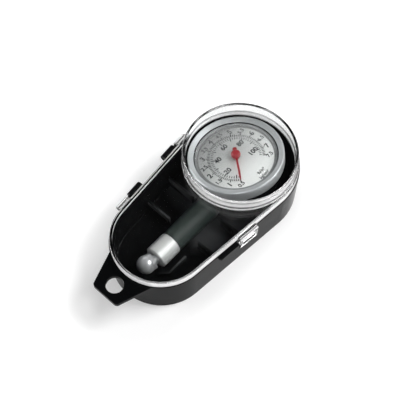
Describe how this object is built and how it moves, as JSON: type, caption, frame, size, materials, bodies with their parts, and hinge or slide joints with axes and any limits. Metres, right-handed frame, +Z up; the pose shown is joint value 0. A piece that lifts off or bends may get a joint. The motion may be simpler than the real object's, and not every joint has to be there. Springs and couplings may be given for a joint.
{
  "type": "tyre pressure gauge",
  "caption": "Dial tyre pressure gauge with a round head, a straight barrel and a ball chuck, lying in a hinged black case with a clear lid and a hanging tab.",
  "frame": {"origin": "on the underside of the case, below the middle of the round window", "axes": "+Z up, +Y along the case towards the dial, +X towards the latch side"},
  "size_m": [0.0664, 0.1308, 0.0356],
  "materials": {
    "black_plastic": "moulded, semi-gloss",
    "clear_plastic": "clear, polished",
    "crystal_plastic": "clear, polished",
    "dark_plastic": "moulded",
    "grey_plastic": "moulded",
    "satin_silver": "satin",
    "dial_metal": "satin, printed scales",
    "red_paint": "painted",
    "dark_metal": "dark coat, semi-gloss",
    "satin_metal": "satin, turned",
    "chrome": "polished",
    "steel": "plain",
    "brass": "plain",
    "rubber": "plain"
  },
  "bodies": {
    "case": {"case_base": "black_plastic"},
    "lid": {"case_lid": "clear_plastic"},
    "gauge": {"gauge_shell": "dark_plastic", "bezel_ring": "satin_silver", "dial_crystal": "crystal_plastic", "dial_spacer": "grey_plastic", "dial_plate": "dial_metal", "movement_plate": "brass", "movement_bridge": "brass", "rack_guide": "brass", "lower_bush": "brass", "upper_bush": "brass", "range_spring": "steel", "spring_seat": "brass", "barrel": "dark_metal", "collar": "satin_metal", "collar_gasket": "rubber", "chuck_ball": "chrome", "chuck_washer": "rubber", "depressor_pin": "brass", "pillar_1": "brass", "pillar_2": "brass", "pillar_3": "brass", "pillar_4": "brass", "bridge_screw_1": "steel", "bridge_screw_2": "steel", "bridge_screw_3": "steel", "bridge_screw_4": "steel"},
    "piston": {"piston": "brass", "piston_seal": "rubber", "rack": "steel"},
    "needle": {"needle": "red_paint", "needle_arbor": "steel", "pinion": "brass"}
  },
  "joints": [
    {"name": "lid_hinge", "type": "hinge", "parent": "case", "child": "lid", "pos_m": [-0.03346, -0.00311, 0.0214], "axis": [0.0926, -0.9957, 0], "range_deg": [0, 180]},
    {"name": "gauge_roll", "type": "hinge", "parent": "case", "child": "gauge", "pos_m": [0.0004, 0, 0.009], "axis": [0, 1, 0], "range_deg": [0, 16]},
    {"name": "piston_slide", "type": "slide", "parent": "gauge", "child": "piston", "axis": [0, 1, 0], "range_m": [0, 0.0106], "stiffness_N_per_m": 4300, "springref_m": -0.00076, "deforming": ["range_spring"]},
    {"name": "needle_spin", "type": "hinge", "parent": "gauge", "child": "needle", "pos_m": [0.0004, 0, 0.009], "axis": [0.1685, 0, -0.9857], "range_deg": [0, 276]}
  ],
  "couplings": [
    {"joint": "needle_spin", "follows": "piston_slide", "rad_per_m": 454.55}
  ]
}
